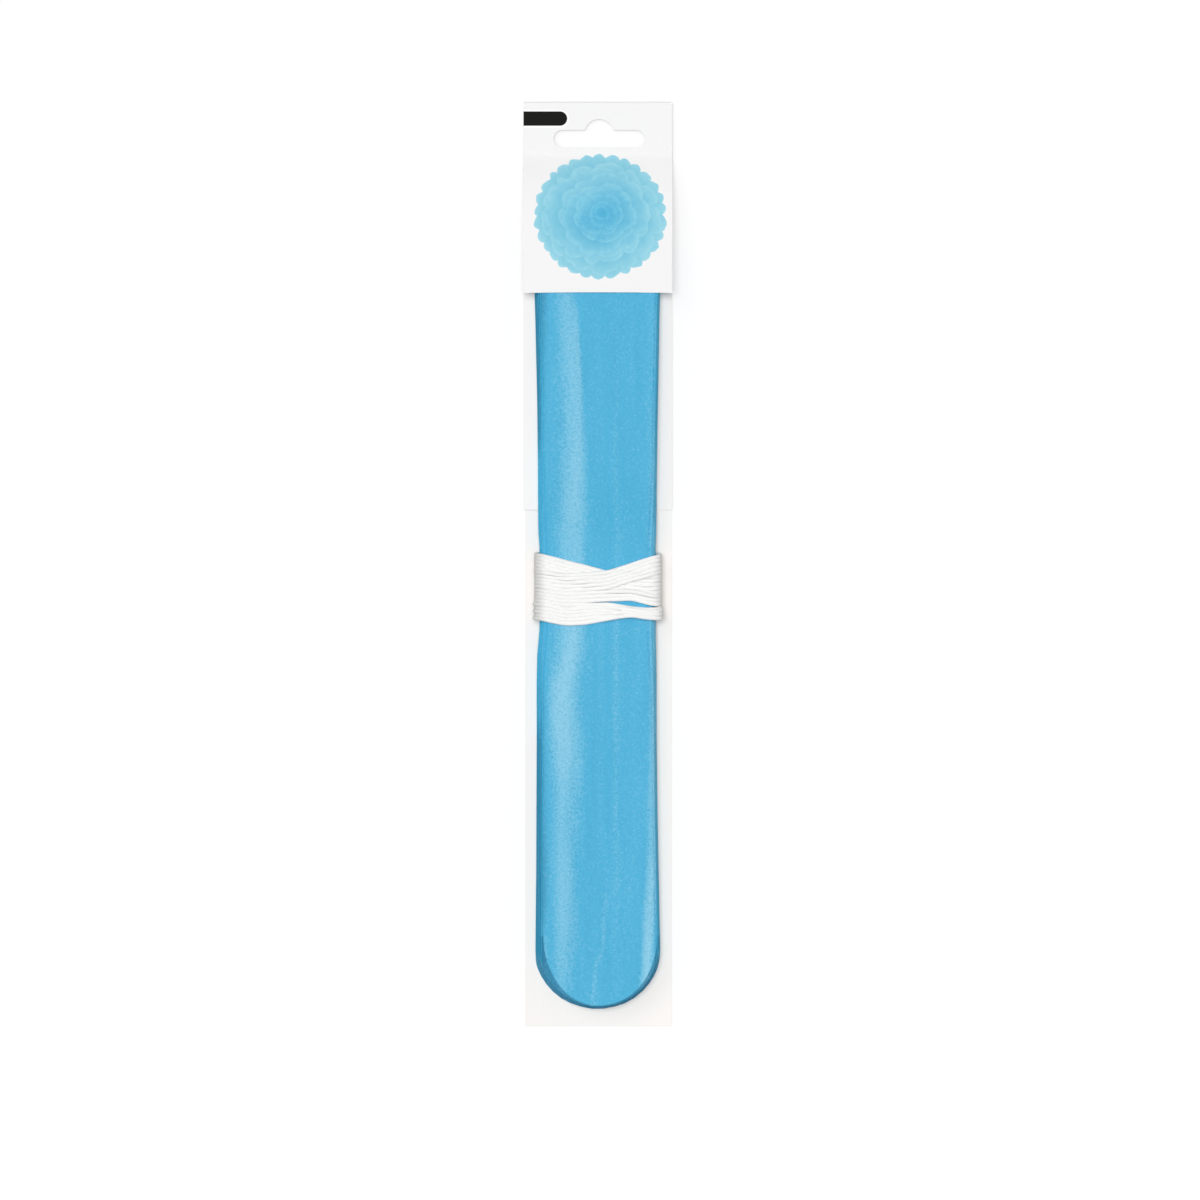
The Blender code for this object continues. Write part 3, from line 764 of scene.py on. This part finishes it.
def tissue_paper():
    """Light blue tissue: a painted sheen of pale streaks along soft creases, painted shade where the pleats turn
    under on the left, on the low pleats away from the cord and past half an ellipse at the lower end, and the short
    pale fibres of thin paper lying in all directions. Edges that are turned away are painted a clearer blue, a
    painted glow for the light that comes through the sheets."""
    shader = Shader("tissue_paper", 0.62, Sheen_Weight=0.06, Sheen_Roughness=0.4, Specular_IOR_Level=0.2)
    vector, x, y, z = shader.places()
    across, along = x / MM, y / MM
    # base is the tissue's own blue; pale is the colour of painted highlights, the third colour that of painted shade,
    # and glow that of a painted glow of light through the sheets.
    base, pale, shade_blue, glow = tone(66, 167, 206), tone(134, 195, 220), tone(26, 116, 152), tone(58, 205, 250)

    # Painted highlight: a pale streak along the main crease, given by its middle, strength and reach either side at
    # places along the pad.
    centre = shader.along(along, (
        (-134, 6.4), (-117, 7.2), (-96, 8.4), (-78, 7.4), (-60, 7.8), (-41, 6.8), (-23, 11.0), (5, 11.3),
        (20, 11.5), (44, 12.2), (65, 11.8), (84, 8.8)), 20.0) - 18.0
    strength = shader.along(along, (
        (-134, 0.08), (-117, 0.44), (-96, 0.62), (-78, 0.52), (-60, 0.80), (-41, 0.98), (-23, 0.84), (5, 0.64),
        (20, 0.70), (44, 0.68), (65, 0.66), (84, 0.24)))
    left = shader.along(along, (
        (-134, 4), (-117, 4.6), (-96, 5.6), (-78, 5.2), (-60, 6.6), (-41, 5.6), (-23, 9.0), (5, 8.6),
        (44, 8.8), (65, 8.2), (84, 8.0)), 12.0)
    right = shader.along(along, (
        (-134, 5), (-117, 6.6), (-96, 4.2), (-78, 7.4), (-60, 8.4), (-41, 8.4), (-23, 5.4), (5, 4.6),
        (20, 4.4), (44, 2.8), (65, 1.7), (84, 3.2)), 12.0)
    wander = 1.6 * (shader.noise(shader.stretched(vector, (60.0, 16.0, 0.0)), 1.0, 2.0) - 0.5)
    beside = across - centre + wander
    highlight_streak = shader.step(beside, 0.0 - left, 0.0) * (1.0 - shader.step(beside, 0.0, right)) * strength

    def band(middle, left_reach, right_reach, heights):
        """A lengthwise band of painted light with its own reach on either side."""
        off = across - middle + wander
        rise = shader.step(off, 0.0 - left_reach, 0.0) * (1.0 - shader.step(off, 0.0, right_reach))
        return rise * shader.along(along, heights)

    # More painted highlights: down the right edge, a faint band, a small one near the lower end and one at the lower
    # left corner.
    right_edge_highlight = band(shader.along(along, ((-134, 14.0), (-117, 15.2), (-104, 15.7), (-90, 16.5), (84, 16.6)), 20.0),
                      3.0, 2.8, ((-134, 0.3), (-117, 0.9), (-104, 0.9), (-92, 0.72), (-78, 0.55), (-59, 0.66),
                                 (-41, 0.64), (-23, 0.6), (10, 0.5), (24, 0.44), (44, 0.22), (84, 0.1)))
    faint = band(5.6, 1.6, 1.6, ((-134, 0.0), (-100, 0.1), (-60, 0.16), (20, 0.12), (60, 0.14), (84, 0.05)))
    small = band(shader.along(along, ((-134, 0.4), (-122, 1.4), (-112, 4.0), (84, 4.4)), 8.0) - 2.0,
                 1.5, 1.3, ((-134, 0.1), (-120, 0.26), (-104, 0.24), (-92, 0.0), (84, 0.0)))
    corner = band(-15.8, 1.2, 1.6, ((-134, 0.0), (-121, 0.15), (-117, 0.3), (-112, 0.1), (-104, 0.0), (84, 0.0)))
    painted_highlights = highlight_streak + right_edge_highlight + faint + small + corner

    # Painted shade down the left edge, where the pleats turn under.
    left_edge_shade = (1.0 - shader.step(across, -18.4, shader.along(along, (
        (-134, 3.4), (-117, 2.2), (-96, 4.0), (-78, 3.2), (-41, 2.6), (-23, 2.2), (44, 2.4), (84, 3.8)), 5.0) - 17.6)
    ) * shader.along(along, (
        (-134, 0.95), (-117, 1.0), (-96, 1.0), (-78, 0.95), (-60, 0.92), (-41, 0.72), (-23, 0.3), (5, 0.4),
        (20, 0.35), (44, 0.46), (65, 0.72), (84, 1.0)))
    # Painted glow on faces turned away from the front, and painted shade on pleats that lie low, away from the cord.
    facing = shader.node("NewGeometry", output="Normal")
    upward = Value(shader, shader.node("SeparateXYZ", inputs={0: facing}).socket.node.outputs[2])
    turned_away = 1.0 - shader.step(upward, 0.3, 0.92)
    past_cord = shader.step(shader.maths("ABSOLUTE", along + 8.0), 36.0, 50.0)
    buried_shade = (1.0 - shader.step(z / MM, 6.6, 8.5)) * past_cord * (1.0 - 0.6 * shader.step(across, 8.0, 17.0))

    cloud = shader.noise(shader.stretched(vector, (230.0, 26.0, 1.0)), 1.0, 3.0) - 0.5
    mottle = shader.noise(vector, 1500.0, 2.0, 0.7) - 0.5
    fibres = 0.0
    for turn, shift in ((8.0, 0.0), (52.0, 3.0), (97.0, 7.0), (146.0, 11.0)):
        lines = shader.noise(shader.stretched(vector, (4600.0, 860.0, 300.0 + shift), turn), 1.0, 1.0, 0.4)
        fibres = shader.step(lines, 0.57, 0.72) + fibres
    # The painted highlights, with the paper's own cloudy tone and fibres, lift the blue towards the highlight colour.
    light = painted_highlights + 0.5 * cloud + 1.3 * mottle + 0.2 * (fibres - 0.5)
    lit = shader.mix(light, base, pale)
    # Painted shade past half an ellipse at the lower end, where the pleats beneath show past the front sheet.
    room = shader.maths("MAXIMUM", 1.0 - ((across - RIM_MIDDLE) / RIM_HALF_WIDTH) ** 2.0, 0.0)
    inner_end = RIM_TIP + RIM_HEIGHT * (1.0 - room ** 0.5) + wander
    rim = 1.0 - shader.step(along, inner_end - 0.3, inner_end + 0.3)
    # Painted shade from the left edge, the low pleats and the lower end, then the painted glow on turned-away edges.
    shaded = shader.mix(0.9 * left_edge_shade + 0.5 * buried_shade + 0.85 * rim - 0.3 * cloud - 0.8 * mottle, lit, shade_blue)
    shaded = shader.mix(0.85 * turned_away * (1.0 - 0.5 * buried_shade) * (1.0 - 0.6 * right_edge_highlight), shaded, glow)
    wrinkle = shader.noise(shader.stretched(vector, (420.0, 60.0, 1.0)), 1.0, 3.0) * 0.7
    wrinkle = wrinkle + 0.3 * shader.noise(vector, 1500.0, 2.0)
    shader.bump(wrinkle, 0.00018, 0.45)
    return shader.paint(shaded, 0.56 + 0.2 * mottle)


def cord_yarn():
    """Soft white yarn: fine fibres that follow the plies round the cord, and a fine grey line of painted shade in the
    groove between two plies, where the cosine of three half turns of the section is near 0. Painted shade greys the
    cord towards its left end."""
    shader = Shader("cord_yarn", 0.85, Sheen_Weight=0.15, Specular_IOR_Level=0.35)
    ply = shader.node("UVMap", {"uv_map": "ply"})
    parts = shader.node("SeparateXYZ", inputs={0: ply}).socket.node
    run, around = (Value(shader, parts.outputs[axis]) for axis in (0, 1))
    lobe = shader.maths("ABSOLUTE", shader.maths("COSINE", 3 * math.pi * (around - run)))
    # The groove between two plies: dented by the bump and greyed with painted shade.
    groove = 1.0 - shader.step(lobe, 0.0, 0.55)
    fibres = shader.noise(shader.stretched(ply, (5.0, 46.0, 1.0)), 1.0, 2.0, 0.6)
    vector, x, *_ = shader.places()
    # Painted shade: the cord greys towards its left end.
    left_end_shade = 1.0 - shader.step(x / MM, -18.2, -15.2)
    # The yarn's own uneven tone and fibres, with painted shade in the grooves.
    grain_and_groove_shade = 0.4 * shader.noise(vector, 900.0, 2.0) + 0.4 * (fibres - 0.5) + 0.42 * groove
    white = shader.mix(grain_and_groove_shade, tone(242, 242, 241), tone(228, 228, 226))
    shader.bump(0.5 * fibres - 0.5 * groove, 0.0001, 0.4)
    return shader.paint(shader.mix(0.6 * left_end_shade, white, tone(192, 192, 188)))


def paper_grain(shader, vector, strength=0.25):
    grain = shader.noise(vector, 1400.0, 3.0, 0.6)
    shader.bump(grain, 0.00004, strength)
    return grain


def plain_card():
    """The card's unprinted side and its cut edges, a little greyer than the printed side."""
    shader = Shader("plain_card", 0.6)
    vector = shader.places()[0]
    grain = paper_grain(shader, vector)
    return shader.paint(shader.mix(grain, tone(237, 233, 230), tone(233, 229, 226)), 0.55 + 0.1 * grain)


def strip_board():
    """Pale board with faint streaks down its length, and painted light that makes it lighter towards the right,
    against the pad's shadow there.
    """
    shader = Shader("strip_board", 0.6)
    vector, x, *_ = shader.places()
    grain = paper_grain(shader, vector)
    streaks = shader.noise(shader.stretched(vector, (900.0, 5.0, 1.0)), 1.0, 3.0, 0.6)
    # Painted light: the board grows lighter towards the right side.
    side = shader.step(x / MM, -22.0, 22.0)
    pale = shader.mix(0.75 * streaks + 0.25 * grain, tone(236, 233, 230), tone(231, 228, 225))
    return shader.paint(shader.mix(0.5 * side, pale, tone(240, 236, 232)), 0.55 + 0.1 * grain)


BLOSSOM_ACROSS, BLOSSOM_ALONG, BLOSSOM_SQUASH = 0.7, 105.2, 1.06
TAB_END, TAB_LOW, TAB_HIGH = -9.25, 132.73, 137.09
PETAL_RINGS = (
    # reach in millimetres, number of petals, and the ring's middle to the right and up from the blossom's
    (20.5, 30, 0.0, 0.0), (18.1, 13, 0.4, -0.5), (15.7, 14, -0.6, 0.5), (13.4, 11, 0.9, 0.4), (11.2, 10, 0.0, -0.5),
    (8.9, 8, 1.3, 0.7), (6.8, 7, 0.3, 1.0), (4.6, 5, 1.2, 0.5), (2.5, 4, 0.7, 0.9),
)


def printed_card():
    """The card's printed side: white, with a bare black tab and a blossom of layered petals. Each ring of
    petals is a circle whose edge swells and dips with the angle, laid over the ring outside it."""
    shader = Shader("printed_card", 0.6, Specular_IOR_Level=0.06)
    vector, x, y, _ = shader.places()
    across, along = x / MM, y / MM
    grain = paper_grain(shader, vector, 0.15)
    colour = shader.mix(grain, tone(235, 235, 235), tone(231, 231, 231))

    east, north = across - BLOSSOM_ACROSS, (along - BLOSSOM_ALONG) * BLOSSOM_SQUASH
    wash = shader.noise(vector, 90.0, 3.0) - 0.5
    for ring, (reach, petals, off_right, off_up) in enumerate(PETAL_RINGS):
        depth = (ring / (len(PETAL_RINGS) - 1)) ** 1.5
        right, up = east - off_right, north - off_up
        away = (right * right + up * up) ** 0.5
        angle = shader.maths("ARCTAN2", up, right)
        stray = shader.noise(shader.stretched(vector, (120.0, 120.0, 30.0 + 9.0 * ring)), 1.0, 1.0) - 0.5
        ruffle = shader.noise(shader.stretched(vector, (330.0, 330.0, 70.0 + 9.0 * ring)), 1.0, 2.0) - 0.5
        swell = shader.maths("ABSOLUTE", shader.maths("SINE", petals / 2 * angle + (4.5 * stray + 1.9 * ring)))
        if ring:
            edge = reach * (0.88 + 0.12 * swell ** 0.6) + 3.6 * stray + 1.5 * ruffle
        else:
            edge = reach * (0.925 + 0.06 * swell ** 0.7) + 1.2 * stray + 1.3 * ruffle
        inside = 1.0 - shader.step(away, edge - 0.12, edge + 0.12)
        spun = shader.node("CombineXYZ", inputs={0: 7.0 * angle, 1: 0.3 * away, 2: 1.0 * ring})
        rays = shader.noise(spun, 1.0, 3.0, 0.6)
        rim = shader.step(away, edge - 1.5, edge) * (rays + 0.35)
        body = tone(126 - 62 * depth, 193 - 34 * depth, 214 - 12 * depth)
        pale = tone(158 - 46 * depth, 210 - 18 * depth, 223 - 6 * depth)
        petal = shader.mix(0.45 * rim + 0.6 * rays + 0.9 * wash, body, pale)
        vein = 1.0 - shader.step(swell, 0.0, 0.6)
        shadow = 0.5 * vein + 0.9 * (1.0 - shader.step(away, edge - 4.0, edge - 1.4))
        petal = shader.mix(0.46 * shadow, petal, tone(100 - 46 * depth, 180 - 28 * depth, 207 - 11 * depth))
        colour = shader.mix(inside, colour, petal)

    tab_middle, tab_half = (TAB_LOW + TAB_HIGH) / 2, (TAB_HIGH - TAB_LOW) / 2
    out = shader.maths("MAXIMUM", across - (TAB_END - tab_half), 0.0)
    up = along - tab_middle
    from_tab = (out * out + up * up) ** 0.5 - tab_half
    colour = shader.mix(1.0 - shader.step(from_tab, 0.45, 0.60), colour, tone(246, 246, 246))
    colour = shader.mix(1.0 - shader.step(from_tab, -0.06, 0.06), colour, tone(20, 20, 18))
    return shader.paint(colour, 0.55 + 0.1 * grain)


def studio_floor():
    """White that keeps its shadows: seen by the camera it also glows a little, up to plain white."""
    shader = Shader("studio_floor", 1.0, Specular_IOR_Level=0.0)
    shader.paint(tone(186, 186, 186))
    paths = shader.node("LightPath").socket.node
    camera, glossy, through = (
        Value(shader, paths.outputs[f"Is {kind} Ray"]) for kind in ("Camera", "Glossy", "Transmission"))
    seen = shader.maths("MAXIMUM", shader.maths("MAXIMUM", camera, glossy), through)
    glow = shader.node("Emission", inputs={"Color": (1.0, 1.0, 1.0, 1.0), "Strength": 0.46 * seen})
    both = shader.node("AddShader", inputs={0: glow, 1: Value(shader, shader.surface.outputs[0])})
    shader.tree.links.new(both.socket, shader.tree.nodes["Material Output"].inputs["Surface"])
    return shader.material


def main():
    make_camera()
    light_pack()
    bpy.context.scene.view_settings.view_transform = "Standard"
    reach, level = 6.0, -0.05 * MM
    corners = [(-reach, -reach, level), (reach, -reach, level), (reach, reach, level), (-reach, reach, level)]
    mesh_object("floor", corners, [(0, 1, 2, 3)], [studio_floor()])
    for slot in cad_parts["backing_strip"].material_slots:
        slot.material = strip_board()
    header_card(plain_card(), printed_card())
    tissue = tissue_paper()
    random = np.random.default_rng(7)
    reach = random.uniform(*FOLD_STRAY, PLEATS)
    for index in range(SHEET_BUNDLES):
        tissue_bundle(index, tissue, reach, random)
    hanging_cord(cord_yarn())


main()
